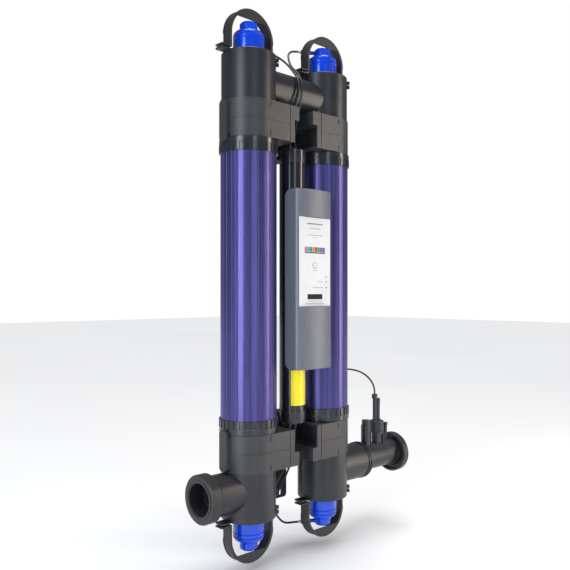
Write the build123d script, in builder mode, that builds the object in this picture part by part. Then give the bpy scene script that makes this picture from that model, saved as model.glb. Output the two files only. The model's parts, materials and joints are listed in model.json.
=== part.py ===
"""Wall-mounted twin-chamber pool water steriliser, built as separate pieces.

Two upright finned chambers stand side by side on a pair of wall brackets.
Water enters at the foot of the left chamber, rises, crosses through the pipe at the top,
falls through the right chamber and leaves past a flow switch.

Frame, in millimetres: X runs along the row of chambers, +Z is up, the wall is the plane Y = 0
and the front of the object faces -Y. The origin is on the wall, in the middle of the four
mounting slots. The object is the same above and below Z = 0 apart from its ports and leads.
"""
from build123d import *
from math import cos, radians, sin, tan
import os

os.makedirs("parts", exist_ok=True)

# ---- driving dimensions -------------------------------------------------------------------
PITCH = 214.0                 # centre distance of the two chambers
AXIS_Y = -72.0                # chamber axes, in front of the wall
HEAD_R = 55.0                 # 110 mm pipe size heads
HEAD_WALL = 6.0
RIM_Z = 463.0                 # outer end of each head
COLLAR_IN_Z = 291.0           # inner end of each collar
COLLAR_OUT_Z = 365.0          # outer end of each collar
COLLAR_GROOVE_Z = 326.0       # joint line between the two halves of a collar
STEP_Z = 337.0                # where a collar's end block steps in
NUT_IN_Z = 263.0              # inner end of each ring nut
NUT_R = 59.7
FIN_R = 56.5                  # finned tube, over its ribs
FIN_COUNT = 26
TUBE_BORE_R = 45.0
PORT_Z = 405.5                # height of the ports and of the cross pipe
STUB_R = 40.0                 # branch of the bottom heads
FLANGE_R = 47.0
SOCKET_R = 31.6               # takes a 63 mm pipe
SOCKET_DEPTH = 36.0
PIPE_R = 28.5                 # outlet pipe
CROSS_R = 40.0                # cross pipe
CROSS_BORE_R = 34.0
CROSS_JOINT_X = 5.0
PIPE_BORE_R = 25.0
INLET_FACE_X = -229.5
OUTLET_FACE_X = 364.0
STUB_END_X = 233.0
FLANGE_LENGTH = 24.0
TAIL_R = 35.5                 # part of the inlet fitting inside the branch
TAIL_LENGTH = 20.0
OUTLET_SOCKET_DEPTH = 20.0
CLEAR = 0.3                   # gap between pieces that move past each other

SLEEVE_R = 15.0               # quartz sleeve
LAMP_R = 8.0
CAP_R = 31.7                  # lamp cap, lower tier
CAP_TOP_R = 18.2              # lamp cap, upper tier
CAP_TOP_Z = 528.0
SPOUT_Z = 519.0
SPOUT_R = 4.2
SPOUT_REACH = 50.0            # from the chamber axis to the tip of the spout
FERRULE_REACH = 57.0
LEAD_R = 2.25

HOOP_R = 56.0                 # guard hoop, outside of the arch
HOOP_T = 5.0
HOOP_W = 22.0
HOOP_CENTRE_Z = 496.0
HOOP_CHORD_Z = 532.0
PIN_R = 1.9
PIN_FIT = 0.05
PIN_X = 53.5                  # hinge of a hoop, from the chamber axis
PIN_Z = 468.0
KNUCKLE_R = 3.6
LUG_X = 76.0                  # tip of the latch lug, from the chamber axis

BALLAST_R = 27.0
BALLAST_Y = AXIS_Y - 15.0
BALLAST_END_Z = 285.0
BALLAST_SEAM_Z = 258.0
GLAND_X = 8.0

CASE_HALF = 50.0
CASE_BACK_Y = AXIS_Y - 45.0
CASE_FRONT_Y = AXIS_Y - 90.0
CASE_TOP_Z = 195.0
CASE_BOTTOM_Z = -168.0
CASE_WALL = 2.5
PANEL_Y = AXIS_Y - 82.0       # front of the label panel
PANEL_T = 1.5
PANEL_HALF = 45.0
PANEL_TOP_Z = 139.0
PANEL_BOTTOM_Z = -41.0
BUTTON_Z = 42.0
BUTTON_R = 5.0
LED_X = 33.0
LED_HEIGHTS = (19.5, 9.0, -3.0)

BRACKET_T = 4.0
EAR_X = 43.0
EAR_HALF = 18.0
EAR_END_Z = 471.5
SLOT_Z = 456.5
SLOT_LENGTH = 20.0
SLOT_WIDTH = 7.0
STANDOFF_X = 50.0
SCREW_ROWS = (310.0, 346.0)

SWITCH_X = 298.0              # flow switch, along the outlet pipe
PIVOT_Z = -383.0

UNITS = (("left", -PITCH / 2, 1), ("right", PITCH / 2, -1))
ENDS = (("top", 1), ("bottom", -1))
# direction of each lamp cap's cable spout, in degrees from +X
SPOUT_ANGLE = {"left": 45.0, "right": 152.0}

made = {}


def save(builder, name):
    """Label a finished piece and write it as one STEP file."""
    builder.part.label = name
    export_step(builder.part, f"parts/{name}.step")
    made[name] = builder.part


def axis_plane(x, y=AXIS_Y):
    """Upright sketch plane through (x, y): sketch x is radius along +X, sketch y is Z."""
    return Plane(origin=(x, y, 0), x_dir=(1, 0, 0), z_dir=(0, -1, 0))


def upright(x, y=AXIS_Y):
    return Axis((x, y, 0), (0, 0, 1))


def flipped(points, end):
    """Profile points written for the top end, mirrored in Z for the bottom end."""
    return [(r, end * z) for r, z in points]


def level(z, x=0.0, y=AXIS_Y):
    """Horizontal sketch plane at height z, centred on (x, y)."""
    return Plane(origin=(x, y, z), x_dir=(1, 0, 0), z_dir=(0, 0, 1))


def facing_x(x, y=AXIS_Y, z=0.0):
    """Sketch plane facing +X: sketch x is Y, sketch y is Z."""
    return Plane(origin=(x, y, z), x_dir=(0, 1, 0), z_dir=(1, 0, 0))


def facing_front(y, x=0.0, z=0.0):
    """Sketch plane facing the front, -Y: sketch x is X, sketch y is Z."""
    return Plane(origin=(x, y, z), x_dir=(1, 0, 0), z_dir=(0, -1, 0))


def spout_plane(side, ux, end):
    """Plane through a lamp cap's axis that faces along its spout."""
    turn = radians(SPOUT_ANGLE[side])
    return Plane(origin=(ux, AXIS_Y, end * SPOUT_Z), z_dir=(cos(turn), sin(turn), 0), x_dir=(0, 0, 1))


# ---- chamber heads ------------------------------------------------------------------------
HEAD_SPIGOT_Z = 282.0
HEAD_NECK_R = 25.0
HEAD_NECK_Z = 480.0
HEAD_PROFILE = (
    (TUBE_BORE_R + 1, HEAD_SPIGOT_Z), (53.0, HEAD_SPIGOT_Z), (53.0, COLLAR_IN_Z - 0.2),
    (HEAD_R, COLLAR_IN_Z - 0.2), (HEAD_R, RIM_Z - 1.5), (HEAD_R - 1.5, RIM_Z),
    (HEAD_NECK_R, RIM_Z), (HEAD_NECK_R, HEAD_NECK_Z), (SLEEVE_R + 0.5, HEAD_NECK_Z),
    (SLEEVE_R + 0.5, RIM_Z - 11), (HEAD_R - HEAD_WALL, RIM_Z - 11),
    (HEAD_R - HEAD_WALL, COLLAR_IN_Z + 8), (TUBE_BORE_R + 1, COLLAR_IN_Z + 8),
)
LUG_Z = (459.7, 462.7)
CLIP_ANGLE = -44.0
CLIP_Z = 449.0

for side, ux, inner in UNITS:
    for end_name, end in ENDS:
        with BuildPart() as head:
            with BuildSketch(axis_plane(ux)):
                with BuildLine():
                    Polyline(*flipped(HEAD_PROFILE, end), close=True)
                make_face()
            revolve(axis=upright(ux))
            # latch lug under the free foot of the hoop
            with BuildSketch(level(end * LUG_Z[0], ux)):
                with Locations((-(LUG_X + HEAD_R - 3) / 2, 0)):
                    RectangleRounded(LUG_X - HEAD_R + 3, HOOP_W, 2)
            extrude(amount=end * (LUG_Z[1] - LUG_Z[0]))
            # two ears that carry the hinge pin of the hoop
            for ear_y in (-HOOP_W / 2 - 1.9, HOOP_W / 2 + 1.9):
                with BuildSketch(facing_front(AXIS_Y + ear_y, ux)):
                    with BuildLine():
                        Polyline((46, end * (RIM_Z - 0.5)), (52.5, end * (RIM_Z - 0.5)),
                                 (PIN_X + KNUCKLE_R - 0.4, end * (PIN_Z - 1.2)),
                                 (PIN_X + KNUCKLE_R - 0.4, end * (PIN_Z + 1.2)),
                                 (PIN_X + 1.2, end * (PIN_Z + KNUCKLE_R - 0.4)),
                                 (PIN_X - 1.2, end * (PIN_Z + KNUCKLE_R - 0.4)),
                                 (46, end * (RIM_Z + 1)), close=True)
                    make_face()
                extrude(amount=1.5, both=True)
                with Locations(Location((ux + PIN_X, AXIS_Y + ear_y, end * PIN_Z), (90, 0, 0))):
                    Cylinder(PIN_R, 8, mode=Mode.SUBTRACT)
            # small two-pronged cable clip on the front
            with BuildSketch(Plane.XY.offset(end * CLIP_Z - 8)):
                with Locations(Location((ux, AXIS_Y, 0), (0, 0, CLIP_ANGLE))):
                    with Locations((HEAD_R + 2.5, -1.6), (HEAD_R + 2.5, 1.6)):
                        Rectangle(7, 1.4)
            extrude(amount=16)
            with BuildSketch(Plane.XY.offset(end * CLIP_Z - 1.4)):
                with Locations(Location((ux, AXIS_Y, 0), (0, 0, CLIP_ANGLE))):
                    with Locations((HEAD_R + 5, 0)):
                        Rectangle(5, 8)
            extrude(amount=2.8, mode=Mode.SUBTRACT)
            if end_name == "top":
                # opening to the cross pipe
                with BuildSketch(facing_x(ux, AXIS_Y, PORT_Z)):
                    Circle(CROSS_BORE_R)
                extrude(amount=inner * (HEAD_R + 5), mode=Mode.SUBTRACT)
            else:
                # branch that carries the inlet or the outlet
                outer = -inner
                stub_end_x = INLET_FACE_X + FLANGE_LENGTH if side == "left" else STUB_END_X
                reach = abs(stub_end_x - ux)
                with BuildSketch(facing_x(ux, AXIS_Y, -PORT_Z)):
                    Circle(STUB_R)
                extrude(amount=outer * reach)
                with BuildSketch(facing_x(ux, AXIS_Y, -PORT_Z)):
                    Circle(PIPE_BORE_R + 1)
                extrude(amount=outer * reach, mode=Mode.SUBTRACT)
                with BuildSketch(level(-RIM_Z + 11, ux)):
                    Circle(HEAD_R - HEAD_WALL)
                extrude(amount=RIM_Z - 11 - COLLAR_IN_Z - 8, mode=Mode.SUBTRACT)
                # wider mouth for the fitting that is glued into the branch
                mouth_r = TAIL_R if side == "left" else PIPE_R
                with BuildSketch(facing_x(stub_end_x, AXIS_Y, -PORT_Z)):
                    Circle(mouth_r + 0.1)
                extrude(amount=-outer * TAIL_LENGTH, mode=Mode.SUBTRACT)
                if side == "right":
                    for ring_x in (stub_end_x - 3.2, stub_end_x - 10.5):
                        with BuildSketch(facing_x(ring_x, AXIS_Y, -PORT_Z)):
                            Circle(STUB_R + 1.6)
                            Circle(STUB_R - 1, mode=Mode.SUBTRACT)
                        extrude(amount=3.2)
        save(head, f"{side}_{end_name}_head")

# ---- finned tubes, seals and ring nuts ----------------------------------------------------
TUBE_END_Z = 280.0
for side, ux, inner in UNITS:
    with BuildPart() as tube:
        with BuildSketch(level(-NUT_IN_Z + CLEAR, ux)):
            Circle(FIN_R)
            with PolarLocations(FIN_R + 0.2, FIN_COUNT):
                Circle(1.5, mode=Mode.SUBTRACT)
            Circle(TUBE_BORE_R, mode=Mode.SUBTRACT)
        extrude(amount=2 * (NUT_IN_Z - CLEAR))
        for end_name, end in ENDS:
            with BuildSketch(axis_plane(ux)):
                with BuildLine():
                    Polyline(*flipped(((TUBE_BORE_R, NUT_IN_Z - 1), (50, NUT_IN_Z - 1), (50, 274),
                                       (53, 274), (53, TUBE_END_Z), (TUBE_BORE_R, TUBE_END_Z)), end),
                             close=True)
                make_face()
            revolve(axis=upright(ux))
    save(tube, f"{side}_finned_tube")

with BuildPart() as gaskets:
    for side, ux, inner in UNITS:
        for end_name, end in ENDS:
            with BuildSketch(level(end * TUBE_END_Z, ux)):
                Circle(52)
                Circle(TUBE_BORE_R + 1, mode=Mode.SUBTRACT)
            extrude(amount=end * (HEAD_SPIGOT_Z - TUBE_END_Z))
save(gaskets, "tube_gaskets")

NUT_RIBS = 30
NUT_PROFILE = (
    (50.3, NUT_IN_Z), (58.0, NUT_IN_Z), (58.0, 278.0), (59.2, 279.0), (59.2, 289.6), (58.2, 290.5),
    (53.3, 290.5), (53.3, 273.7), (50.3, 273.7),
)
for side, ux, inner in UNITS:
    for end_name, end in ENDS:
        with BuildPart() as nut:
            with BuildSketch(axis_plane(ux)):
                with BuildLine():
                    Polyline(*flipped(NUT_PROFILE, end), close=True)
                make_face()
            revolve(axis=upright(ux))
            with BuildSketch(level(end * (NUT_IN_Z + 1), ux)):
                Circle(NUT_R)
                with PolarLocations(NUT_R, NUT_RIBS):
                    Circle(3.6, mode=Mode.SUBTRACT)
                Circle(57.0, mode=Mode.SUBTRACT)
            extrude(amount=end * 15.5)
        save(nut, f"{side}_{end_name}_ring_nut")

# ---- collars ------------------------------------------------------------------------------
BAND_R = 57.0
BAND_BORE_R = HEAD_R + 0.1
BLOCK_OUT_X = 20.0            # inner end of a block, outer part, from the middle of the object
BLOCK_IN_X = 33.0             # inner end of a block, inner part
SEAM_X = 45.0
PANEL_OUT = 66.0              # raised side panel, from the chamber axis

for side, ux, inner in UNITS:
    for end_name, end in ENDS:
        with BuildPart() as collar:
            for z_from, z_to, block_x in ((COLLAR_IN_Z, STEP_Z, BLOCK_IN_X),
                                          (STEP_Z, COLLAR_OUT_Z, BLOCK_OUT_X)):
                block = PITCH / 2 - block_x
                with BuildSketch(level(end * z_from, ux)):
                    Circle(BAND_R)
                    with Locations((inner * block / 2, 0)):
                        Rectangle(block, 2 * BAND_R)
                extrude(amount=end * (z_to - z_from))
            # hollow in the end block, open towards the other chamber
            pocket = PITCH / 2 - BLOCK_IN_X + 1
            with BuildSketch(level(end * (COLLAR_IN_Z + 4), ux)):
                with Locations((inner * (60 + pocket) / 2, -6)):
                    Rectangle(pocket - 60 + 1, 2 * BAND_R - 20)
            extrude(amount=end * (STEP_Z - COLLAR_IN_Z - 8), mode=Mode.SUBTRACT)
            # raised panel on the outer side, with cut corners
            with BuildSketch(facing_x(ux - inner * (BAND_R - 2))):
                with BuildLine():
                    Polyline((-11, end * 296), (-11, end * 357), (-6, end * 362), (6, end * 362),
                             (11, end * 357), (11, end * 296), close=True)
                make_face()
            extrude(amount=-inner * (PANEL_OUT - BAND_R + 2))
            with BuildSketch(facing_x(ux - inner * 60.4)):
                with BuildLine():
                    Polyline((-11, end * 287), (-6, end * 282), (6, end * 282), (11, end * 287),
                             (11, end * 297), (-11, end * 297), close=True)
                make_face()
            extrude(amount=-inner * (PANEL_OUT - 60.4))
            with Locations((ux - inner * PANEL_OUT, AXIS_Y, end * 322)):
                Sphere(2)
            with BuildSketch(level(end * COLLAR_IN_Z, ux)):
                Circle(BAND_BORE_R)
            extrude(amount=end * (COLLAR_OUT_Z - COLLAR_IN_Z), mode=Mode.SUBTRACT)
            # joint line round the band and over the flat front
            with BuildSketch(level(end * COLLAR_GROOVE_Z, ux)):
                Circle(BAND_R + 1)
                Circle(BAND_R - 0.8, mode=Mode.SUBTRACT)
                with Locations((inner * 50, 0)):
                    Rectangle(100, 3 * BAND_R, mode=Mode.SUBTRACT)
                with Locations((inner * (PITCH / 2 - SEAM_X) / 2, -BAND_R)):
                    Rectangle(PITCH / 2 - SEAM_X, 1.6)
                with Locations((-inner * 80, 0)):
                    Rectangle(60, 26, mode=Mode.SUBTRACT)
            extrude(amount=end * 1.2, mode=Mode.SUBTRACT)
            # upright seam of the end block and the short slots beside the round part
            with BuildSketch(facing_front(AXIS_Y - BAND_R, ux)):
                with Locations((inner * (PITCH / 2 - SEAM_X), end * (COLLAR_IN_Z + COLLAR_OUT_Z) / 2)):
                    Rectangle(1.4, COLLAR_OUT_Z - COLLAR_IN_Z)
                for slot_z in (COLLAR_IN_Z + 9, COLLAR_OUT_Z - 9):
                    with Locations((inner * 9, end * slot_z)):
                        SlotOverall(11, 2.0, rotation=90)
            extrude(amount=-1.2, mode=Mode.SUBTRACT)
            # screw holes in the back of the end block
            for row in SCREW_ROWS:
                with Locations(Location((-inner * STANDOFF_X, AXIS_Y + BAND_R - 5, end * row), (90, 0, 0))):
                    Cylinder(2.5, 10, mode=Mode.SUBTRACT)
        save(collar, f"{side}_{end_name}_collar")

# ---- quartz sleeves, lamps, lamp caps and their seals -------------------------------------
SLEEVE_END_Z = 499.0
CAP_FOOT_Z = RIM_Z + 0.2
CAP_LEDGE_Z = 484.8
CAP_INNER_Z = 500.0

for side, ux, inner in UNITS:
    with BuildPart() as sleeve:
        with BuildSketch(level(-SLEEVE_END_Z, ux)):
            Circle(SLEEVE_R)
            Circle(SLEEVE_R - 1.5, mode=Mode.SUBTRACT)
        extrude(amount=2 * SLEEVE_END_Z)
    save(sleeve, f"{side}_quartz_sleeve")

    with BuildPart() as lamp:
        with BuildSketch(level(-450, ux)):
            Circle(LAMP_R)
        extrude(amount=900)
        for end_name, end in ENDS:
            with BuildSketch(level(end * 450, ux)):
                Circle(LAMP_R + 0.8)
            extrude(amount=end * 16)
            # push-on connector that the lead feeds
            with BuildSketch(level(end * 466, ux)):
                Circle(LAMP_R + 3)
            extrude(amount=end * 46)
    save(lamp, f"{side}_uv_lamp")

    for end_name, end in ENDS:
        with BuildPart() as cap:
            with BuildSketch(axis_plane(ux)):
                with BuildLine():
                    Polyline(*flipped(((25.4, CAP_FOOT_Z), (CAP_R - 0.8, CAP_FOOT_Z), (CAP_R, CAP_FOOT_Z + 0.8),
                                       (CAP_R, 489)), end))
                    Polyline(*flipped(((CAP_R, 489), (CAP_R - 1.3, 490.2), (CAP_R - 1.3, 491.2), (CAP_R, 492.4),
                                       (CAP_R, 497), (CAP_R - 1.3, 498.2), (CAP_R - 1.3, 499.2),
                                       (CAP_R - 0.2, 500.4)), end))
                    Spline(*flipped(((CAP_R - 0.2, 500.4), (26.5, 508.5), (CAP_TOP_R + 0.8, 512.2)), end),
                           tangents=((-0.12, end), (-1, end * 0.35)))
                    Polyline(*flipped(((CAP_TOP_R + 0.8, 512.2), (CAP_TOP_R, 513.0), (CAP_TOP_R, 524.5),
                                       (CAP_TOP_R - 3.5, CAP_TOP_Z), (0, CAP_TOP_Z), (0, 523),
                                       (13, 523), (13, CAP_INNER_Z), (SLEEVE_R + 0.6, CAP_INNER_Z),
                                       (SLEEVE_R + 0.6, CAP_LEDGE_Z), (25.4, CAP_LEDGE_Z),
                                       (25.4, CAP_FOOT_Z)), end))
                make_face()
            revolve(axis=upright(ux))
            with BuildSketch(spout_plane(side, ux, end).offset(14)):
                Circle(SPOUT_R)
            extrude(amount=SPOUT_REACH - 14)
            with BuildSketch(spout_plane(side, ux, end).offset(SPOUT_REACH - 5)):
                Circle(SPOUT_R + 0.9)
            extrude(amount=4)
            with BuildSketch(spout_plane(side, ux, end).offset(10)):
                Circle(LEAD_R)
            extrude(amount=SPOUT_REACH - 10, mode=Mode.SUBTRACT)
        save(cap, f"{side}_{end_name}_lamp_cap")

with BuildPart() as sleeve_seals:
    for side, ux, inner in UNITS:
        for end_name, end in ENDS:
            with Locations((ux, AXIS_Y, end * (HEAD_NECK_Z + 2.4))):
                Torus(SLEEVE_R + 2.6, 2.3)
save(sleeve_seals, "sleeve_seals")

with BuildPart() as ferrules:
    for side, ux, inner in UNITS:
        for end_name, end in ENDS:
            with BuildSketch(spout_plane(side, ux, end).offset(SPOUT_REACH)):
                Circle(3.4)
            extrude(amount=3)
            with BuildSketch(spout_plane(side, ux, end).offset(SPOUT_REACH + 3)):
                Circle(2.9)
            extrude(amount=FERRULE_REACH - SPOUT_REACH - 3)
save(ferrules, "lead_ferrules")

# ---- guard hoops and their pins -----------------------------------------------------------
for side, ux, inner in UNITS:
    for end_name, end in ENDS:
        with BuildPart() as hoop:
            for start_r, cut in ((HOOP_R, False), (HOOP_R - HOOP_T, True)):
                with BuildSketch(facing_front(AXIS_Y, ux)):
                    with Locations((0, end * HOOP_CENTRE_Z)):
                        Circle(start_r)
                    with Locations((0, end * (HOOP_CENTRE_Z + PIN_Z - (1 if cut else 0)) / 2)):
                        Rectangle(2 * start_r, HOOP_CENTRE_Z - PIN_Z + (1 if cut else 0))
                    with Locations((0, end * (PIN_Z - 50))):
                        Rectangle(4 * HOOP_R, 100, mode=Mode.SUBTRACT)
                extrude(amount=HOOP_W / 2 + (1 if cut else 0), both=True,
                        mode=Mode.SUBTRACT if cut else Mode.ADD)
            # front web that fills the crown above a level chord
            with BuildSketch(facing_front(AXIS_Y - HOOP_W / 2 + 3, ux)):
                with Locations((0, end * HOOP_CENTRE_Z)):
                    Circle(HOOP_R - HOOP_T + 0.5)
                with Locations((0, end * (HOOP_CHORD_Z - 60))):
                    Rectangle(3 * HOOP_R, 120, mode=Mode.SUBTRACT)
            extrude(amount=3)
            # raised edges along both sides of the strap
            for edge_y in (-HOOP_W / 2 + 1.5, HOOP_W / 2):
                with BuildSketch(facing_front(AXIS_Y + edge_y, ux)):
                    with Locations((0, end * HOOP_CENTRE_Z)):
                        Circle(HOOP_R + 1.0)
                        Circle(HOOP_R - 0.5, mode=Mode.SUBTRACT)
                    with Locations((0, end * (HOOP_CENTRE_Z - 60))):
                        Rectangle(3 * HOOP_R, 120, mode=Mode.SUBTRACT)
                extrude(amount=1.5)
            # knuckle on the hinge side
            with Locations(Location((ux + PIN_X, AXIS_Y, end * PIN_Z), (90, 0, 0))):
                Cylinder(KNUCKLE_R, HOOP_W)
                Cylinder(PIN_R + PIN_FIT, HOOP_W + 2, mode=Mode.SUBTRACT)
            # latch lug on the free side
            with BuildSketch(level(end * (PIN_Z - 1.6), ux)):
                with Locations((-(LUG_X + HOOP_R - HOOP_T) / 2, 0)):
                    RectangleRounded(LUG_X - HOOP_R + HOOP_T, HOOP_W, 2)
            extrude(amount=end * 2.8)
            with BuildSketch(level(end * (PIN_Z - 1.6), ux)):
                with Locations((-(HOOP_R - HOOP_T / 2), 0)):
                    Rectangle(HOOP_T, HOOP_W)
            extrude(amount=end * 4)
        save(hoop, f"{side}_{end_name}_guard_hoop")

with BuildPart() as hoop_pins:
    for side, ux, inner in UNITS:
        for end_name, end in ENDS:
            with Locations(Location((ux + PIN_X, AXIS_Y, end * PIN_Z), (90, 0, 0))):
                Cylinder(PIN_R, HOOP_W + 6.8)
save(hoop_pins, "hoop_pins")

# ---- pipework -----------------------------------------------------------------------------
with BuildPart() as cross_pipe:
    with BuildSketch(facing_x(-PITCH / 2, AXIS_Y, PORT_Z)):
        Circle(CROSS_R)
        Circle(CROSS_BORE_R, mode=Mode.SUBTRACT)
    extrude(amount=PITCH)
    # joint line between the two halves
    with BuildSketch(facing_x(CROSS_JOINT_X, AXIS_Y, PORT_Z)):
        Circle(CROSS_R + 1)
        Circle(CROSS_R - 0.5, mode=Mode.SUBTRACT)
    extrude(amount=1.2, mode=Mode.SUBTRACT)
    for ux in (-PITCH / 2, PITCH / 2):
        with BuildSketch(level(PORT_Z - 60, ux)):
            Circle(HEAD_R + 0.05)
        extrude(amount=120, mode=Mode.SUBTRACT)
save(cross_pipe, "cross_pipe")


with BuildPart() as inlet_flange:
    with BuildSketch(facing_front(AXIS_Y, INLET_FACE_X, -PORT_Z)):
        with BuildLine():
            Polyline((0, SOCKET_R), (0, 34.2), (2.6, 34.2), (2.6, 37.4), (0, 37.4), (0, FLANGE_R - 1.5),
                     (1.5, FLANGE_R), (FLANGE_LENGTH - 3, FLANGE_R), (FLANGE_LENGTH, FLANGE_R - 3),
                     (FLANGE_LENGTH, TAIL_R), (FLANGE_LENGTH + TAIL_LENGTH - 0.5, TAIL_R),
                     (FLANGE_LENGTH + TAIL_LENGTH - 0.5, PIPE_BORE_R + 1.5),
                     (SOCKET_DEPTH, PIPE_BORE_R + 1.5), (SOCKET_DEPTH, SOCKET_R), close=True)
        make_face()
    revolve(axis=Axis((0, AXIS_Y, -PORT_Z), (1, 0, 0)))
save(inlet_flange, "inlet_flange")

BOSS_R = 12.0                 # hole in the outlet pipe under the flow switch
with BuildPart() as outlet_pipe:
    with BuildSketch(facing_front(AXIS_Y, OUTLET_FACE_X, -PORT_Z)):
        with BuildLine():
            Polyline((0, SOCKET_R), (0, 34.2), (-2.6, 34.2), (-2.6, 37.4), (0, 37.4), (0, FLANGE_R - 1.5),
                     (-1.5, FLANGE_R), (-16, FLANGE_R), (-18, FLANGE_R - 2), (-18, FLANGE_R - 5),
                     (-13, FLANGE_R - 8), (-13, PIPE_R + 6), (-FLANGE_LENGTH, PIPE_R + 3),
                     (-FLANGE_LENGTH, PIPE_R), (STUB_END_X - TAIL_LENGTH + 0.5 - OUTLET_FACE_X, PIPE_R),
                     (STUB_END_X - TAIL_LENGTH + 0.5 - OUTLET_FACE_X, PIPE_BORE_R),
                     (-OUTLET_SOCKET_DEPTH, PIPE_BORE_R), (-OUTLET_SOCKET_DEPTH, SOCKET_R), close=True)
        make_face()
    revolve(axis=Axis((0, AXIS_Y, -PORT_Z), (1, 0, 0)))
    with BuildSketch(level(-PORT_Z, SWITCH_X)):
        Circle(BOSS_R)
    extrude(amount=PIPE_R + 5, mode=Mode.SUBTRACT)
save(outlet_pipe, "outlet_pipe")

with BuildPart() as port_seals:
    for seal_x, out in ((INLET_FACE_X, -1), (OUTLET_FACE_X, 1)):
        with BuildSketch(facing_x(seal_x - out * 2.5, AXIS_Y, -PORT_Z)):
            Circle(37.3)
            Circle(34.3, mode=Mode.SUBTRACT)
        extrude(amount=out * 3.2)
save(port_seals, "port_seals")

# ---- flow switch --------------------------------------------------------------------------
SADDLE_R = 32.0
SWITCH_CAP_R = 16.8
SWITCH_CAP_Z = (-350.0, -322.0)
POST_X = 257.0
SLIM_POST_X = 331.0
STEM_R = 4.7
STEM_X = (290.5, 303.0)
STEM_TOP_Z = (-258.0, -269.0)
PIVOT_R = 1.5
LEG_XY = (11.5, 11.0)

with BuildPart() as switch_body:
    # saddle clamped over the top of the outlet pipe
    with BuildSketch(facing_x(244, AXIS_Y, -PORT_Z)):
        Circle(SADDLE_R)
        Circle(PIPE_R + 0.05, mode=Mode.SUBTRACT)
        with Locations((0, -18)):
            Rectangle(3 * SADDLE_R, 60, mode=Mode.SUBTRACT)
    extrude(amount=94)
    # centre tube with two tabs that reach into the pipe, and the pivot between them
    with BuildSketch(level(-PORT_Z + 26, SWITCH_X)):
        Circle(BOSS_R - 0.1)
    extrude(amount=SWITCH_CAP_Z[0] + 6 + PORT_Z - 26)
    for tab_y in (-9, 9):
        with BuildSketch(facing_front(AXIS_Y + tab_y, SWITCH_X)):
            with BuildLine():
                Polyline((-4, 27 - PORT_Z), (-4, PIVOT_Z - 2), (-2, PIVOT_Z - 4), (2, PIVOT_Z - 4),
                         (4, PIVOT_Z - 2), (4, 27 - PORT_Z), close=True)
            make_face()
        extrude(amount=1, both=True)
    with Locations(Location((SWITCH_X, AXIS_Y, PIVOT_Z), (90, 0, 0))):
        Cylinder(PIVOT_R, 19)
    # tall post on the left, narrower at its top, and a slim post on the right
    for post_x, post_r, z_from, z_to in ((POST_X, 11.3, 29 - PORT_Z, -328), (POST_X, 9.4, -329, -316),
                                         (SLIM_POST_X, 4.6, 29 - PORT_Z, -336),
                                         (SLIM_POST_X, 6.0, -338, -331)):
        with BuildSketch(level(z_from, post_x)):
            Circle(post_r)
        extrude(amount=z_to - z_from)
    # legs that the screws of the cap run down
    with BuildSketch(level(28.6 - PORT_Z, SWITCH_X)):
        with GridLocations(2 * LEG_XY[0], 2 * LEG_XY[1], 2, 2):
            Circle(3.4)
    extrude(amount=SWITCH_CAP_Z[0] + PORT_Z - 28.6)
save(switch_body, "flow_switch_body")

with BuildPart() as switch_cap:
    with BuildSketch(level(SWITCH_CAP_Z[0], SWITCH_X)):
        Circle(SWITCH_CAP_R)
        with PolarLocations(SWITCH_CAP_R + 0.3, 28):
            Circle(0.8, mode=Mode.SUBTRACT)
    extrude(amount=SWITCH_CAP_Z[1] - SWITCH_CAP_Z[0])
    chamfer(switch_cap.faces().sort_by(Axis.Z)[-1].outer_wire().edges(), 0.6)
    with BuildSketch(level(SWITCH_CAP_Z[0], SWITCH_X)):
        Circle(BOSS_R + 0.1)
    extrude(amount=6.2, mode=Mode.SUBTRACT)
save(switch_cap, "flow_switch_cap")

with BuildPart() as switch_stems:
    for stem_x, top_z, collar_r, collar_length in zip(STEM_X, STEM_TOP_Z, (7.0, 5.2), (10.0, 16.0)):
        with BuildSketch(level(SWITCH_CAP_Z[1], stem_x)):
            Circle(STEM_R)
        extrude(amount=top_z - SWITCH_CAP_Z[1])
        with BuildSketch(level(top_z - collar_length, stem_x)):
            Circle(collar_r)
        extrude(amount=collar_length)
        with BuildSketch(level(SWITCH_CAP_Z[1], stem_x)):
            Circle(STEM_R + 1.2)
        extrude(amount=4)
save(switch_stems, "flow_switch_stems")

with BuildPart() as paddle:
    with Locations(Location((SWITCH_X, AXIS_Y, PIVOT_Z), (90, 0, 0))):
        Cylinder(3.2, 14)
    with BuildSketch(facing_x(SWITCH_X - 1, AXIS_Y)):
        with Locations((0, PIVOT_Z - 2 - 20)):
            RectangleRounded(15, 40, 3)
    extrude(amount=2)
    with Locations(Location((SWITCH_X, AXIS_Y, PIVOT_Z), (90, 0, 0))):
        Cylinder(PIVOT_R + 0.05, 20, mode=Mode.SUBTRACT)
save(paddle, "flow_paddle")

# ---- ballast ------------------------------------------------------------------------------
with BuildPart() as ballast_tube:
    with BuildSketch(level(-BALLAST_SEAM_Z, 0, BALLAST_Y)):
        Circle(BALLAST_R)
        Circle(BALLAST_R - 2.5, mode=Mode.SUBTRACT)
    extrude(amount=2 * BALLAST_SEAM_Z)
save(ballast_tube, "ballast_tube")

for end_name, end in ENDS:
    with BuildPart() as ballast_cap:
        with BuildSketch(axis_plane(0, BALLAST_Y)):
            with BuildLine():
                Polyline(*flipped(((21.5, 250), (24.4, 250), (24.4, BALLAST_SEAM_Z), (28.2, BALLAST_SEAM_Z),
                                   (28.6, BALLAST_SEAM_Z + 1.5), (28.0, 283.5), (26.5, BALLAST_END_Z),
                                   (0, BALLAST_END_Z), (0, 281), (21.5, 281)), end), close=True)
            make_face()
        revolve(axis=upright(0, BALLAST_Y))
    save(ballast_cap, f"ballast_{end_name}_cap")

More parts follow.
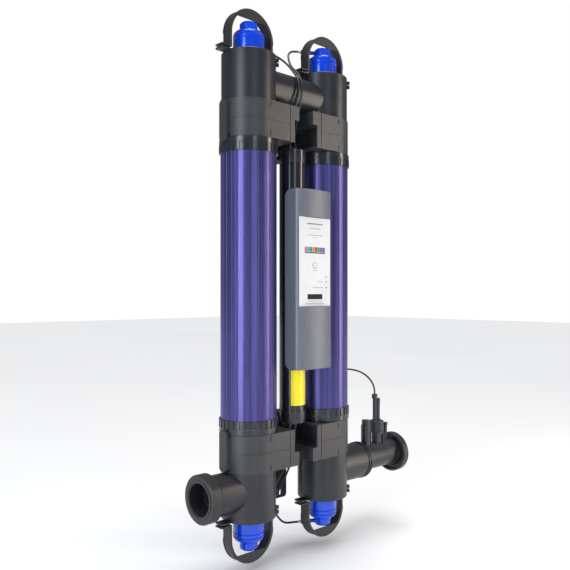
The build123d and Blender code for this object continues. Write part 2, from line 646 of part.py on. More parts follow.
with BuildPart() as ballast_board:
    with Locations((0, BALLAST_Y + 4, 0)):
        Box(36, 1.6, 480)
    # coils and capacitors of the two lamp drives
    for drive_z in (-120, 120):
        for part_z, size in ((-80, (24, 16, 22)), (-40, (16, 14, 30)), (5, (26, 18, 26)), (60, (14, 12, 40))):
            with Locations((0, BALLAST_Y + 4 - 0.8 - size[1] / 2, drive_z + part_z)):
                Box(*size)
save(ballast_board, "ballast_electronics")

STICKER_Z = (-247.0, -174.0)
with BuildPart() as sticker:
    with BuildSketch(level(STICKER_Z[0], 0, BALLAST_Y)):
        Circle(BALLAST_R + 0.4)
        Circle(BALLAST_R + 0.05, mode=Mode.SUBTRACT)
        with BuildLine():
            Polyline((0, 0), (-38, -32), (-38, -60), (38, -60), (38, -13 * 2.6), (0, 0))
        make_face(mode=Mode.INTERSECT)
    extrude(amount=STICKER_Z[1] - STICKER_Z[0])
save(sticker, "ballast_sticker")

# ---- control case -------------------------------------------------------------------------
CASE_ROUND = 16.0
RECESS_FIT = 0.6
FLOOR_Y = PANEL_Y + PANEL_T   # front of the ledge behind the label panel
FLOOR_T = 2.5
CASE_SHOULDER = 9.0           # how far the front bows out in the middle
CASE_GLAND = (37.0, -138.0)


def case_outline(inset):
    """Plan of the case, bowed towards the front, drawn on the ground plane."""
    side_x = CASE_HALF - inset
    with BuildSketch(Plane.XY) as outline:
        with BuildLine():
            Line((-side_x, CASE_BACK_Y), (side_x, CASE_BACK_Y))
            Line((side_x, CASE_BACK_Y), (side_x, CASE_FRONT_Y + CASE_SHOULDER + inset))
            ThreePointArc((side_x, CASE_FRONT_Y + CASE_SHOULDER + inset), (0, CASE_FRONT_Y + inset),
                          (-side_x, CASE_FRONT_Y + CASE_SHOULDER + inset))
            Line((-side_x, CASE_FRONT_Y + CASE_SHOULDER + inset), (-side_x, CASE_BACK_Y))
        make_face()
        fillet(outline.vertices().group_by(Axis.Y)[0], 9 - inset)
    return outline.sketch


case_plan = case_outline(0)
cavity_plan = case_outline(CASE_WALL)

with BuildPart() as case_cavity:
    add(cavity_plan.moved(Location((0, 0, CASE_BOTTOM_Z + CASE_WALL))))
    extrude(amount=CASE_TOP_Z - CASE_BOTTOM_Z - 2 * CASE_WALL)
    fillet(case_cavity.edges().filter_by(Axis.X).group_by(Axis.Y)[-1], CASE_ROUND - CASE_WALL)
    with Locations((0, FLOOR_Y + FLOOR_T - 30, (PANEL_TOP_Z + PANEL_BOTTOM_Z) / 2)):
        Box(2 * CASE_HALF, 60, PANEL_TOP_Z - PANEL_BOTTOM_Z + 6, mode=Mode.SUBTRACT)

with BuildPart() as case_shell:
    add(case_plan.moved(Location((0, 0, CASE_BOTTOM_Z))))
    extrude(amount=CASE_TOP_Z - CASE_BOTTOM_Z)
    fillet(case_shell.edges().filter_by(Axis.X).group_by(Axis.Y)[-1], CASE_ROUND)
    fillet(case_shell.faces().sort_by(Axis.Z)[-1].edges() + case_shell.faces().sort_by(Axis.Z)[0].edges(), 1.2)
    add(case_cavity.part, mode=Mode.SUBTRACT)
    # recess for the label panel
    with Locations((0, FLOOR_Y - 30, (PANEL_TOP_Z + PANEL_BOTTOM_Z) / 2)):
        Box(2 * (PANEL_HALF + RECESS_FIT), 60, PANEL_TOP_Z - PANEL_BOTTOM_Z + 2 * RECESS_FIT,
            mode=Mode.SUBTRACT)
    with BuildSketch(facing_front(FLOOR_Y - 1)):
        with Locations((0, BUTTON_Z)):
            Circle(BUTTON_R + 0.2)
        with Locations(*[(LED_X, z) for z in LED_HEIGHTS]):
            Circle(1.7)
    extrude(amount=-8, mode=Mode.SUBTRACT)
save(case_shell, "control_case_shell")

with BuildPart() as panel:
    with BuildSketch(facing_front(FLOOR_Y)):
        with Locations((0, (PANEL_TOP_Z + PANEL_BOTTOM_Z) / 2)):
            RectangleRounded(2 * PANEL_HALF, PANEL_TOP_Z - PANEL_BOTTOM_Z, 1)
        with Locations((0, BUTTON_Z)):
            Circle(BUTTON_R + 0.2, mode=Mode.SUBTRACT)
        with Locations(*[(LED_X, z) for z in LED_HEIGHTS]):
            Circle(1.7, mode=Mode.SUBTRACT)
    extrude(amount=PANEL_T)
save(panel, "label_panel")

BOARD_Y = -143.0
with BuildPart() as button:
    with BuildSketch(facing_front(PANEL_Y - 1.2)):
        with Locations((0, BUTTON_Z)):
            Circle(BUTTON_R)
    extrude(amount=-(FLOOR_Y + FLOOR_T + 1.6 - PANEL_Y + 1.2))
    with BuildSketch(facing_front(FLOOR_Y + FLOOR_T + 0.1)):
        with Locations((0, BUTTON_Z)):
            Circle(BUTTON_R + 2.5)
    extrude(amount=-1.5)
    with BuildSketch(facing_front(PANEL_Y - 1.2)):
        with Locations((0, BUTTON_Z)):
            Circle(3.1)
    extrude(amount=-0.5, mode=Mode.SUBTRACT)
save(button, "reset_button")

with BuildPart() as leds:
    for led_z in LED_HEIGHTS:
        with BuildSketch(facing_front(BOARD_Y)):
            with Locations((LED_X, led_z)):
                Circle(1.5)
        extrude(amount=BOARD_Y - PANEL_Y)
        with Locations((LED_X, PANEL_Y, led_z)):
            Sphere(1.5)
save(leds, "status_leds")

with BuildPart() as board:
    with Locations((0, BOARD_Y + 0.8, 50)):
        Box(84, 1.6, 176)
    for part_x, part_z, size in ((-22, 100, (24, 12, 20)), (16, 108, (18, 10, 14)), (-20, 0, (14, 3, 14)),
                                 (14, 66, (30, 14, 26))):
        with Locations((part_x, BOARD_Y + 1.6 + size[1] / 2, part_z)):
            Box(*size)
save(board, "circuit_board")

BACK_T = 3.0
with BuildPart() as case_back:
    back_low = CASE_BOTTOM_Z + CASE_ROUND + 0.2
    back_high = CASE_TOP_Z - CASE_ROUND - 0.2
    with Locations((0, CASE_BACK_Y - BACK_T / 2, (back_low + back_high) / 2)):
        Box(2 * (CASE_HALF - CASE_WALL - 0.1), BACK_T, back_high - back_low)
    # posts for the circuit board
    for post_x in (-36, 36):
        for post_z in (-30, 130):
            with Locations((post_x, (BOARD_Y + 1.6 + CASE_BACK_Y - BACK_T) / 2, post_z)):
                Box(7, CASE_BACK_Y - BACK_T - BOARD_Y - 1.6, 7)
    # two saddles that clamp the case to the ballast tube
    for saddle_z in (-95, 100):
        with Locations((0, CASE_BACK_Y + 8.5, saddle_z)):
            Box(38, 17, 24)
    with BuildSketch(level(-150, 0, BALLAST_Y)):
        Circle(BALLAST_R + 0.05)
    extrude(amount=300, mode=Mode.SUBTRACT)
save(case_back, "control_case_back")

GLAND_LENGTH = 14.0
CASE_GLAND_LENGTH = 8.0
with BuildPart() as glands:
    for end_name, end in ENDS:
        for gland_x in (-GLAND_X, GLAND_X):
            with BuildSketch(level(end * BALLAST_END_Z, gland_x, BALLAST_Y)):
                RegularPolygon(6.6, 6)
            extrude(amount=end * 5)
            with BuildSketch(level(end * (BALLAST_END_Z + 5), gland_x, BALLAST_Y)):
                Circle(5.2)
            extrude(amount=end * (GLAND_LENGTH - 5), taper=12)
    with BuildSketch(facing_front(CASE_BACK_Y, CASE_GLAND[0], CASE_GLAND[1])):
        Circle(5.0)
    extrude(amount=-CASE_GLAND_LENGTH, taper=12)
save(glands, "cable_glands")

# ---- wall brackets and their screws -------------------------------------------------------
SADDLE_Z = (264.0, 279.0)
for end_name, end in ENDS:
    with BuildPart() as bracket:
        with BuildSketch(facing_front(0)) as plate:
            with Locations((0, end * 328)):
                Rectangle(124, 88)
            with Locations((0, end * 274)):
                Rectangle(34, 28)
            for ear_x in (-EAR_X, EAR_X):
                with Locations((ear_x, end * (EAR_END_Z + 360) / 2)):
                    RectangleRounded(2 * EAR_HALF, EAR_END_Z - 360, 7)
                with Locations((ear_x, end * SLOT_Z)):
                    SlotOverall(SLOT_LENGTH, SLOT_WIDTH, rotation=90, mode=Mode.SUBTRACT)
        extrude(amount=BRACKET_T)
        # standoffs behind the end blocks of the collars
        for stand_x in (-STANDOFF_X, STANDOFF_X):
            with Locations((stand_x, -(BRACKET_T + 15) / 2, end * 328)):
                Box(20, 11, 60)
        # arm and half saddle that hold the ballast
        with Locations((0, -(BRACKET_T + 70) / 2, end * (SADDLE_Z[0] + SADDLE_Z[1]) / 2)):
            Box(8, 66, SADDLE_Z[1] - SADDLE_Z[0])
        with BuildSketch(level(end * SADDLE_Z[0], 0, BALLAST_Y)):
            Circle(BALLAST_R + 5)
            with Locations((0, -24)):
                Rectangle(80, 84, mode=Mode.SUBTRACT)
        extrude(amount=end * (SADDLE_Z[1] - SADDLE_Z[0]))
        with BuildSketch(level(end * (SADDLE_Z[0] - 1), 0, BALLAST_Y)):
            Circle(28.65)
        extrude(amount=end * (SADDLE_Z[1] - SADDLE_Z[0] + 2), mode=Mode.SUBTRACT)
        for stand_x in (-STANDOFF_X, STANDOFF_X):
            for row in SCREW_ROWS:
                with Locations(Location((stand_x, 0, end * row), (-90, 0, 0))):
                    CounterSinkHole(2.6, 5.0, depth=16)
    save(bracket, f"{end_name}_wall_bracket")

with BuildPart() as screws:
    for end_name, end in ENDS:
        for stand_x in (-STANDOFF_X, STANDOFF_X):
            for row in SCREW_ROWS:
                with Locations(Location((stand_x, -12, end * row), (90, 0, 0))):
                    Cylinder(2.45, 23.8)
                with Locations(Location((stand_x, -1.3, end * row), (-90, 0, 0))):
                    Cone(2.45, 4.7, 2.2)
save(screws, "bracket_screws")

# ---- cords --------------------------------------------------------------------------------
FLOW_LEAD_R = 2.0
FIT_SHARE = 0.45              # share of the shorter run that a bend may take up

CORDS = {
    "left_top_lamp_lead": (LEAD_R, (
        (-66.69, -31.69, 519), (-52, -17, 519), (-34, -17, 511), (-11, -38, 499), (3, -63, 479),
        (-1, -93, 449), (-7, -113, 428), (-11, -119.5, 402), (-13, -114, 378), (-12, -102, 355),
        (-8, -87, 327), (-8, -87, 299))),
    "right_top_lamp_lead": (LEAD_R, (
        (56.67, -45.24, 519), (44.31, -38.67, 519), (34, -39, 510), (25, -49, 494), (14, -68, 471),
        (8, -92, 452), (2, -111, 431), (-2, -119.5, 405), (-3, -115, 380), (1, -102, 354),
        (8, -87, 327), (8, -87, 299))),
    "right_bottom_lamp_lead": (LEAD_R, (
        (56.67, -45.24, -519), (44.31, -38.67, -519), (26, -39, -516), (8, -44, -506),
        (-10, -49, -488), (-26, -52, -466), (-33, -58, -440), (-28, -66, -414), (-16, -73, -392),
        (-9, -81, -368), (-8, -87, -340), (-8, -87, -299))),
    "left_bottom_lamp_lead": (LEAD_R, (
        (-66.69, -31.69, -519), (-52, -17, -519), (-36, -14, -511), (-22, -20, -494),
        (-12, -30, -473), (-4, -41, -449), (3, -52, -424), (8, -63, -398), (9.5, -74, -372),
        (8, -87, -341), (8, -87, -299))),
    "flow_switch_cable": (FLOW_LEAD_R, (
        (290.5, -72, -258), (290.5, -72, -242), (284, -64, -222), (275, -50, -208), (266, -32, -201),
        (248, -16, -198), (222, -9, -195), (186, -7, -189), (148, -8.5, -181), (110, -8, -172),
        (74, -10, -160), (51, -21, -150), (40, -43, -143), (37, -70, -138), (37, -109, -138))),
}


def bend_radii(points):
    """Radius of the arc at each inner point, as large as its two runs allow."""
    radii = []
    for before, here, after in zip(points, points[1:], points[2:]):
        run_in = Vector(*here) - Vector(*before)
        run_out = Vector(*after) - Vector(*here)
        half_turn = radians(run_in.get_angle(run_out)) / 2
        radii.append(FIT_SHARE * min(run_in.length, run_out.length) / tan(half_turn))
    return radii


for cord_name, (cord_r, route) in CORDS.items():
    radii = bend_radii(route)
    with BuildPart() as cord:
        with BuildLine():
            path = FilletPolyline(*route, radius=radii)
        with BuildSketch(Plane(origin=route[0], z_dir=path % 0)):
            Circle(cord_r)
        sweep(path=path)
    save(cord, cord_name)
    tube_length = path.length
    section = 3.14159265 * cord_r**2
    print(cord_name, "length", round(tube_length, 1), "radii", [round(r) for r in radii],
          "volume share", round(cord.part.volume / (section * tube_length), 4))

overall = Compound(children=list(made.values())).bounding_box()
print(len(made), "nodes, box", overall.min, overall.max)
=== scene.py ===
import bpy
import bmesh
import json
import math
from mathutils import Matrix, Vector


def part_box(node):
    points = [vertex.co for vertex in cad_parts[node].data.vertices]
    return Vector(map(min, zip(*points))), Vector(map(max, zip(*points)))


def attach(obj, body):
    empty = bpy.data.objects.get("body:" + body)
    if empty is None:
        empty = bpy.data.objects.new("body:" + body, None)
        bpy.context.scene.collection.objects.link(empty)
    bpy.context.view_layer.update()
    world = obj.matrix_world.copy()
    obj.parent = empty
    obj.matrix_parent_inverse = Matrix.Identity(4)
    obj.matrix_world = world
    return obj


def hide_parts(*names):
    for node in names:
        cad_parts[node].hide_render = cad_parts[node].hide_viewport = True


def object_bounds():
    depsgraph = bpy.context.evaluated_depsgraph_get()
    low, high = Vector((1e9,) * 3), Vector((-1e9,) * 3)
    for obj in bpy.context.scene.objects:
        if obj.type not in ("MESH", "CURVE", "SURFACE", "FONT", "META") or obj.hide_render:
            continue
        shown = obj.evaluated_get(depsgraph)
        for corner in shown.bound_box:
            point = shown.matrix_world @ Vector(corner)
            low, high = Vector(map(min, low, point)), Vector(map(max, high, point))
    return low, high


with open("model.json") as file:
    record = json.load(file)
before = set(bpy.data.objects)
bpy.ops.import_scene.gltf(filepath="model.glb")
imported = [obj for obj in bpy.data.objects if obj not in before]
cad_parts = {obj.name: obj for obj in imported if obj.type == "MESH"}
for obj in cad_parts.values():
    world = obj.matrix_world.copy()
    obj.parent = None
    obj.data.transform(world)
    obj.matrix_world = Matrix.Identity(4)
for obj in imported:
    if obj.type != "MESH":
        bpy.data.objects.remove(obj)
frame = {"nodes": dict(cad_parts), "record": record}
cad_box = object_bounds()
nodes = frame["nodes"]
scene = bpy.context.scene
MM = 0.001

CAMERA_PLACE = (-0.9744, -1.1044, -0.0166)
CAMERA_AIM = (0.6839, 0.7296, 0.0)
SENSOR_WIDTH_MM = 36
LENS_MM = 42.26
LENS_SHIFT_Y = 0.0163
CLIP_START = 0.05

# input sockets of the colour Mix node
MIX_FACTOR = 0
MIX_A = 6
MIX_B = 7
MIX_RESULT = 2
RAMP_DARK_AT = 0.3
RAMP_LIGHT_AT = 0.7
ROUGH_PATCH_RATIO = 2.7
RELIEF_DEPTH = 0.0004
DUST_FROM_NORMAL_Z = 0.6
DUST_COLOUR = (0.35, 0.34, 0.32, 1)


# ---- camera ---------------------------------------------------------------------------
cam = bpy.data.objects.new("camera", bpy.data.cameras.new("camera"))
scene.collection.objects.link(cam)
scene.camera = cam
cam.location = CAMERA_PLACE
cam.rotation_euler = Vector(CAMERA_AIM).to_track_quat("-Z", "Y").to_euler()
cam.data.sensor_width = SENSOR_WIDTH_MM
cam.data.lens = LENS_MM
cam.data.shift_y = LENS_SHIFT_Y
cam.data.clip_start = CLIP_START


# ---- materials ------------------------------------------------------------------------
def surface(name, dark, light, rough=(0.35, 0.5), scale=30, stretch=(1, 1, 1), bump=0.1,
            bump_scale=900, metallic=0.0, dust=0.0, **sockets):
    """A procedural finish: mottled colour, uneven roughness, fine bump and dust on top faces."""
    m = bpy.data.materials.new(name)
    m.use_nodes = True
    t = m.node_tree
    bsdf = t.nodes["Principled BSDF"]
    bsdf.inputs["Metallic"].default_value = metallic
    for key, value in sockets.items():
        bsdf.inputs[key.replace("_", " ")].default_value = value
    coord = t.nodes.new("ShaderNodeTexCoord")
    mapping = t.nodes.new("ShaderNodeMapping")
    mapping.inputs["Scale"].default_value = stretch
    t.links.new(coord.outputs["Object"], mapping.inputs["Vector"])

    def noise(s, detail):
        n = t.nodes.new("ShaderNodeTexNoise")
        n.inputs["Scale"].default_value = s
        n.inputs["Detail"].default_value = detail
        t.links.new(mapping.outputs["Vector"], n.inputs["Vector"])
        return n.outputs["Fac"]

    ramp = t.nodes.new("ShaderNodeValToRGB")
    ramp.color_ramp.elements[0].position = RAMP_DARK_AT
    ramp.color_ramp.elements[0].color = (*dark, 1)
    ramp.color_ramp.elements[1].position = RAMP_LIGHT_AT
    ramp.color_ramp.elements[1].color = (*light, 1)
    t.links.new(noise(scale, 4), ramp.inputs["Fac"])
    colour = ramp.outputs["Color"]
    if dust:
        geometry = t.nodes.new("ShaderNodeNewGeometry")
        split = t.nodes.new("ShaderNodeSeparateXYZ")
        t.links.new(geometry.outputs["Normal"], split.inputs[0])
        reach = t.nodes.new("ShaderNodeMapRange")
        reach.inputs["From Min"].default_value = DUST_FROM_NORMAL_Z
        reach.inputs["To Max"].default_value = dust
        t.links.new(split.outputs["Z"], reach.inputs["Value"])
        mix = t.nodes.new("ShaderNodeMix")
        mix.data_type = "RGBA"
        mix.inputs[MIX_B].default_value = DUST_COLOUR
        t.links.new(reach.outputs[0], mix.inputs[MIX_FACTOR])
        t.links.new(colour, mix.inputs[MIX_A])
        colour = mix.outputs[MIX_RESULT]
    t.links.new(colour, bsdf.inputs["Base Color"])
    gloss = t.nodes.new("ShaderNodeMapRange")
    gloss.inputs["To Min"].default_value = rough[0]
    gloss.inputs["To Max"].default_value = rough[1]
    t.links.new(noise(scale * ROUGH_PATCH_RATIO, 5), gloss.inputs["Value"])
    t.links.new(gloss.outputs[0], bsdf.inputs["Roughness"])
    relief = t.nodes.new("ShaderNodeBump")
    relief.inputs["Strength"].default_value = bump
    relief.inputs["Distance"].default_value = RELIEF_DEPTH
    t.links.new(noise(bump_scale, 3), relief.inputs["Height"])
    t.links.new(relief.outputs["Normal"], bsdf.inputs["Normal"])
    return m


FINISH = {
    "head_plastic": surface("head_plastic", (0.010, 0.011, 0.014), (0.016, 0.017, 0.021),
                            (0.33, 0.41), 18, bump=0.10, bump_scale=700, dust=0.04),
    "nut_plastic": surface("nut_plastic", (0.012, 0.013, 0.017), (0.020, 0.021, 0.026),
                           (0.16, 0.26), 40, bump=0.05, dust=0.06),
    "collar_plastic": surface("collar_plastic", (0.024, 0.025, 0.028), (0.033, 0.034, 0.037),
                              (0.38, 0.47), 22, bump=0.22, bump_scale=1500, dust=0.04),
    "cap_blue": surface("cap_blue", (0.0, 0.035, 0.50), (0.0, 0.070, 0.72), (0.08, 0.16), 16,
                        bump=0.03, bump_scale=300, Coat_Weight=0.35, Coat_Roughness=0.06),
    "hoop_plastic": surface("hoop_plastic", (0.014, 0.014, 0.016), (0.023, 0.023, 0.026),
                            (0.38, 0.50), 35, bump=0.22, bump_scale=1300, dust=0.05),
    "cord_black": surface("cord_black", (0.010, 0.010, 0.011), (0.022, 0.022, 0.024),
                          (0.34, 0.48), 60, bump=0.08, bump_scale=800),
    "fin_purple": surface("fin_purple", (0.052, 0.045, 0.165), (0.075, 0.066, 0.215),
                          (0.28, 0.38), 60, (6, 6, 0.25), bump=0.10, bump_scale=260,
                          metallic=0.72),
    "quartz": surface("quartz", (0.90, 0.93, 0.95), (0.96, 0.98, 1.0), (0.02, 0.06), 12,
                      bump=0.02, bump_scale=80, Transmission_Weight=1.0, IOR=1.46),
    "lamp_glass": surface("lamp_glass", (0.85, 0.88, 0.92), (0.95, 0.97, 1.0), (0.08, 0.18), 25,
                          bump=0.03, bump_scale=150, Transmission_Weight=0.6, IOR=1.46),
    "flange_plastic": surface("flange_plastic", (0.010, 0.010, 0.012), (0.017, 0.017, 0.019),
                              (0.33, 0.43), 25, bump=0.12, bump_scale=800, dust=0.04),
    "seal_rubber": surface("seal_rubber", (0.006, 0.006, 0.007), (0.014, 0.014, 0.015),
                           (0.30, 0.42), 50, bump=0.06),
    "switch_plastic": surface("switch_plastic", (0.014, 0.017, 0.024), (0.024, 0.028, 0.037),
                              (0.24, 0.36), 45, bump=0.08, dust=0.08),
    "ballast_black": surface("ballast_black", (0.010, 0.010, 0.013), (0.018, 0.018, 0.022),
                             (0.14, 0.24), 35, (1, 1, 0.3), bump=0.04, bump_scale=500),
    "ballast_cap": surface("ballast_cap", (0.014, 0.014, 0.017), (0.022, 0.022, 0.026),
                           (0.18, 0.28), 35, bump=0.05),
    "board_green": surface("board_green", (0.01, 0.10, 0.03), (0.03, 0.20, 0.07), (0.25, 0.4),
                           140, bump=0.2, bump_scale=420),
    "sticker_yellow": surface("sticker_yellow", (0.86, 0.68, 0.0), (0.95, 0.78, 0.005),
                              (0.22, 0.34), 25, bump=0.12, bump_scale=120),
    "case_satin": surface("case_satin", (0.120, 0.128, 0.155), (0.140, 0.150, 0.178),
                          (0.42, 0.50), 70, (5, 5, 0.3), bump=0.05, bump_scale=420,
                          metallic=0.35),
    "case_back_black": surface("case_back_black", (0.014, 0.014, 0.016), (0.024, 0.024, 0.026),
                               (0.38, 0.5), 30, bump=0.14, dust=0.1),
    "panel_white": surface("panel_white", (0.66, 0.66, 0.66), (0.71, 0.71, 0.705), (0.60, 0.70),
                           20, bump=0.05, bump_scale=500, Specular_IOR_Level=0.15),
    "button_grey": surface("button_grey", (0.60, 0.60, 0.60), (0.70, 0.70, 0.69), (0.35, 0.45),
                           60, bump=0.10, bump_scale=900),
    "gland_plastic": surface("gland_plastic", (0.012, 0.012, 0.013), (0.022, 0.022, 0.024),
                             (0.36, 0.48), 50, bump=0.10),
    "bracket_black": surface("bracket_black", (0.014, 0.014, 0.016), (0.026, 0.026, 0.029),
                             (0.38, 0.52), 24, bump=0.18, bump_scale=1100, dust=0.05),
    "screw_steel": surface("screw_steel", (0.42, 0.42, 0.44), (0.62, 0.62, 0.63), (0.22, 0.36),
                           90, bump=0.10, bump_scale=600, metallic=1.0),
    "ferrule_white": surface("ferrule_white", (0.70, 0.70, 0.68), (0.82, 0.82, 0.80),
                             (0.34, 0.46), 60, bump=0.08),
}


RED_LENS_TOP_Z = 0.003
RED_LENS_COLOUR = (0.80, 0.015, 0.01, 1)


def lamp_lens():
    """Indicator lenses: the lowest one is red and the others green."""
    m = surface("led_clear", (0.05, 0.30, 0.06), (0.12, 0.45, 0.12), (0.10, 0.20), 60,
                bump=0.03, Coat_Weight=0.5)
    t = m.node_tree
    bsdf = t.nodes["Principled BSDF"]
    green = bsdf.inputs["Base Color"].links[0].from_socket
    coord = t.nodes.new("ShaderNodeTexCoord")
    split = t.nodes.new("ShaderNodeSeparateXYZ")
    low = t.nodes.new("ShaderNodeMath")
    low.operation = "LESS_THAN"
    low.inputs[1].default_value = RED_LENS_TOP_Z
    mix = t.nodes.new("ShaderNodeMix")
    mix.data_type = "RGBA"
    mix.inputs[MIX_B].default_value = RED_LENS_COLOUR
    t.links.new(coord.outputs["Object"], split.inputs[0])
    t.links.new(split.outputs["Z"], low.inputs[0])
    t.links.new(low.outputs[0], mix.inputs[MIX_FACTOR])
    t.links.new(green, mix.inputs[MIX_A])
    t.links.new(mix.outputs[MIX_RESULT], bsdf.inputs["Base Color"])
    return m


FINISH["led_clear"] = lamp_lens()
for sub in frame["record"]["subparts"]:
    mesh = nodes[sub["node"]].data
    mesh.materials.clear()
    mesh.materials.append(FINISH[sub["material_slot"]])


# ---- cords ----------------------------------------------------------------------------
# radius, length and route points in millimetres, the same as in the CAD model
ROUTES = {
    "left_top_lamp_lead": (2.25, 314.2, [
        (-66.69, -31.69, 519), (-52, -17, 519), (-34, -17, 511), (-11, -38, 499), (3, -63, 479),
        (-1, -93, 449), (-7, -113, 428), (-11, -119.5, 402), (-13, -114, 378), (-12, -102, 355),
        (-8, -87, 327), (-8, -87, 299)]),
    "right_top_lamp_lead": (2.25, 279.5, [
        (56.67, -45.24, 519), (44.31, -38.67, 519), (34, -39, 510), (25, -49, 494),
        (14, -68, 471), (8, -92, 452), (2, -111, 431), (-2, -119.5, 405), (-3, -115, 380),
        (1, -102, 354), (8, -87, 327), (8, -87, 299)]),
    "right_bottom_lamp_lead": (2.25, 282.3, [
        (56.67, -45.24, -519), (44.31, -38.67, -519), (26, -39, -516), (8, -44, -506),
        (-10, -49, -488), (-26, -52, -466), (-33, -58, -440), (-28, -66, -414), (-16, -73, -392),
        (-9, -81, -368), (-8, -87, -340), (-8, -87, -299)]),
    "left_bottom_lamp_lead": (2.25, 273.6, [
        (-66.69, -31.69, -519), (-52, -17, -519), (-36, -14, -511), (-22, -20, -494),
        (-12, -30, -473), (-4, -41, -449), (3, -52, -424), (8, -63, -398), (9.5, -74, -372),
        (8, -87, -341), (8, -87, -299)]),
    "flow_switch_cable": (2.0, 402.0, [
        (290.5, -72, -258), (290.5, -72, -242), (284, -64, -222), (275, -50, -208),
        (266, -32, -201), (248, -16, -198), (222, -9, -195), (186, -7, -189), (148, -8.5, -181),
        (110, -8, -172), (74, -10, -160), (51, -21, -150), (40, -43, -143), (37, -70, -138),
        (37, -109, -138)]),
}
CORD_STEPS = 12
CORD_SIDES = 5
for name, (radius, length, route) in ROUTES.items():
    curve = bpy.data.curves.new(name + "_cord", "CURVE")
    curve.dimensions = "3D"
    curve.resolution_u = CORD_STEPS
    curve.bevel_depth = radius * MM
    curve.bevel_resolution = CORD_SIDES
    curve.use_fill_caps = True
    spline = curve.splines.new("NURBS")
    spline.points.add(len(route) - 1)
    for point, place in zip(spline.points, route):
        point.co = (*(c * MM for c in place), 1)
    spline.order_u = 3
    spline.use_endpoint_u = True
    curve.materials.append(FINISH["cord_black"])
    cord = bpy.data.objects.new(name + "_cord", curve)
    scene.collection.objects.link(cord)
    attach(cord, "root")
    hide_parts(name)


# ---- mesh helpers ---------------------------------------------------------------------
CORNER_STEPS = 4
PRINT_SINK = 0.00002
PRINT_RISE = 0.00008


def piece(name, bm, slots, body="root", smooth=True):
    mesh = bpy.data.meshes.new(name)
    bm.to_mesh(mesh)
    bm.free()
    for s in slots:
        mesh.materials.append(s)
    for p in mesh.polygons:
        p.use_smooth = smooth
    obj = bpy.data.objects.new(name, mesh)
    scene.collection.objects.link(obj)
    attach(obj, body)
    return obj


def plate(bm, x0, x1, z0, z1, y_back, y_front, index, radius):
    """A thin rounded plate facing the front, as one block of printed film."""
    ring = []
    for cx, cz, start in ((x1 - radius, z1 - radius, 0), (x0 + radius, z1 - radius, 90),
                          (x0 + radius, z0 + radius, 180), (x1 - radius, z0 + radius, 270)):
        for k in range(CORNER_STEPS + 1):
            a = math.radians(start + 90 * k / CORNER_STEPS)
            ring.append((cx + radius * math.cos(a), cz + radius * math.sin(a)))
    front = [bm.verts.new((x, y_front, z)) for x, z in ring]
    back = [bm.verts.new((x, y_back, z)) for x, z in ring]
    faces = [bm.faces.new(front)]
    for k in range(len(ring)):
        n = (k + 1) % len(ring)
        faces.append(bm.faces.new((front[n], front[k], back[k], back[n])))
    for f in faces:
        f.material_index = index


# ---- print on the label panel: plain bars and blocks, no lettering ---------------------
lo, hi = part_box("label_panel")
front_y = lo.y
mid_x = (lo.x + hi.x) / 2
INKS = [("ink_grey", (0.20, 0.20, 0.21), (0.30, 0.30, 0.31)),
        ("ink_black", (0.010, 0.010, 0.012), (0.022, 0.022, 0.024)),
        ("ink_pink", (0.55, 0.08, 0.20), (0.65, 0.12, 0.26)),
        ("ink_teal", (0.02, 0.30, 0.34), (0.04, 0.40, 0.44)),
        ("ink_green", (0.03, 0.22, 0.10), (0.06, 0.30, 0.15)),
        ("ink_amber", (0.50, 0.20, 0.03), (0.60, 0.27, 0.05)),
        ("ink_red", (0.45, 0.03, 0.03), (0.56, 0.05, 0.05)),
        ("ink_violet", (0.12, 0.08, 0.25), (0.18, 0.12, 0.32))]
inks = [surface(n, d, l, (0.60, 0.70), 90, bump=0.05, bump_scale=1200,
                Specular_IOR_Level=0.15) for n, d, l in INKS]


BAR_ROUNDING = 0.3
BAR_RADIUS_MAX = 0.5


def bars(bm, rows, index):
    """Printed bars: each row is its x, z, width and height in millimetres."""
    for x, z, width, height in rows:
        plate(bm, mid_x + (x - width / 2) * MM, mid_x + (x + width / 2) * MM,
              (z - height / 2) * MM, (z + height / 2) * MM, front_y + PRINT_SINK,
              front_y - PRINT_RISE, index, radius=min(BAR_ROUNDING * height, BAR_RADIUS_MAX) * MM)


print_bm = bmesh.new()
bars(print_bm, [(0, 126, 46, 2.6), (0, 116.5, 32, 1.2), (0, 103, 46, 1.0), (0, 98, 9, 0.9),
                (0, 31.5, 12, 1.1), (15, 9, 15, 1.1), (8, -3, 30, 1.1), (0, -30.5, 42, 1.0),
                (0, -35.5, 52, 1.0)], 0)
bars(print_bm, [(0, -21.5, 43, 10.5), (0, 67.5, 59, 2.2)], 1)
STRIP = (2, 3, 4, 5, 6, 4, 7, 7)
STRIP_WIDTH = 59
STRIP_Z = 74.2
STRIP_HEIGHT = 10
STRIP_GAP = 0.7
step = STRIP_WIDTH / len(STRIP)
for k, ink in enumerate(STRIP):
    bars(print_bm, [((k + 0.5) * step - STRIP_WIDTH / 2, STRIP_Z, step - STRIP_GAP, STRIP_HEIGHT)],
         ink)
label_print = piece("label_print", print_bm, inks, smooth=False)


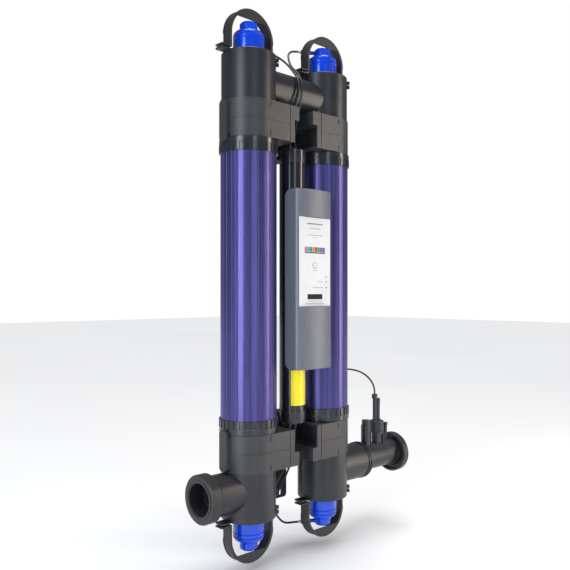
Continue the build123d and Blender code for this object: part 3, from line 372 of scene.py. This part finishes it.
# ---- a thin ring printed round the reset button ------------------------------------------
ring_bm = bmesh.new()
b_lo, b_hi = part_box("reset_button")
centre = ((b_lo.x + b_hi.x) / 2, (b_lo.z + b_hi.z) / 2)
SEGMENTS = 64
RING_INNER = 0.0058
RING_OUTER = 0.0067
loops = []
for r, y in ((RING_INNER, front_y + PRINT_SINK), (RING_INNER, front_y - PRINT_RISE),
             (RING_OUTER, front_y - PRINT_RISE), (RING_OUTER, front_y + PRINT_SINK)):
    loops.append([ring_bm.verts.new((centre[0] + r * math.cos(2 * math.pi * k / SEGMENTS), y,
                                     centre[1] + r * math.sin(2 * math.pi * k / SEGMENTS)))
                  for k in range(SEGMENTS)])
for a, b in zip(loops, loops[1:]):
    for k in range(SEGMENTS):
        n = (k + 1) % SEGMENTS
        ring_bm.faces.new((a[k], a[n], b[n], b[k]))
button_ring = piece("button_ring_print", ring_bm, [inks[0]])


# ---- floor, light and sky ----------------------------------------------------------------
FLOOR_GAP = 0.02
FLOOR_HALF_SIZE = 12
FLOOR_Z = cad_box[0].z - FLOOR_GAP
bm = bmesh.new()
bmesh.ops.create_grid(bm, x_segments=8, y_segments=8, size=FLOOR_HALF_SIZE)
floor_mesh = bpy.data.meshes.new("floor")
bm.to_mesh(floor_mesh)
bm.free()
floor = bpy.data.objects.new("floor", floor_mesh)
scene.collection.objects.link(floor)
floor.location = (0, 0, FLOOR_Z)
floor_mesh.materials.append(surface("floor_pale", (0.86, 0.86, 0.86), (0.89, 0.89, 0.89),
                                    (0.75, 0.85), 0.6, bump=0.02, bump_scale=40))

# the sky looks white behind the object and lights it more softly
SKY_FILL = 0.22
world = bpy.data.worlds.new("sky")
scene.world = world
world.use_nodes = True
sky = world.node_tree
fill = sky.nodes["Background"]
fill.inputs["Color"].default_value = (0.92, 0.95, 1.0, 1)
fill.inputs["Strength"].default_value = SKY_FILL
white = sky.nodes.new("ShaderNodeBackground")
white.inputs["Color"].default_value = (1, 1, 1, 1)
white.inputs["Strength"].default_value = 1.0
seen = sky.nodes.new("ShaderNodeLightPath")
either = sky.nodes.new("ShaderNodeMixShader")
sky.links.new(seen.outputs["Is Camera Ray"], either.inputs[0])
sky.links.new(fill.outputs[0], either.inputs[1])
sky.links.new(white.outputs[0], either.inputs[2])
sky.links.new(either.outputs[0], sky.nodes["World Output"].inputs["Surface"])


def softbox(name, place, target, size, power, colour):
    data = bpy.data.lights.new(name, "AREA")
    data.shape = "RECTANGLE"
    data.size, data.size_y = size
    data.energy = power
    data.color = colour
    obj = bpy.data.objects.new(name, data)
    scene.collection.objects.link(obj)
    obj.location = place
    obj.rotation_euler = (Vector(target) - Vector(place)).to_track_quat("-Z", "Y").to_euler()


SUN_STRENGTH = 2.45
SUN_SPREAD_DEG = 50
softbox("warm_strip", (1.40, -1.45, 0.1), (0.05, 0, 0.05), (0.36, 1.9), 24, (1.0, 0.88, 0.76))
softbox("cool_front", (-0.75, -2.35, 0.1), (0, 0, 0), (0.40, 2.2), 13, (0.70, 0.84, 1.0))
softbox("cool_left", (-2.0, -0.62, 0.1), (0, 0, 0), (0.7, 2.2), 38, (0.86, 0.92, 1.0))
sun = bpy.data.objects.new("overhead", bpy.data.lights.new("overhead", "SUN"))
scene.collection.objects.link(sun)
sun.data.energy = SUN_STRENGTH
sun.data.angle = math.radians(SUN_SPREAD_DEG)
scene.view_settings.view_transform = "Standard"
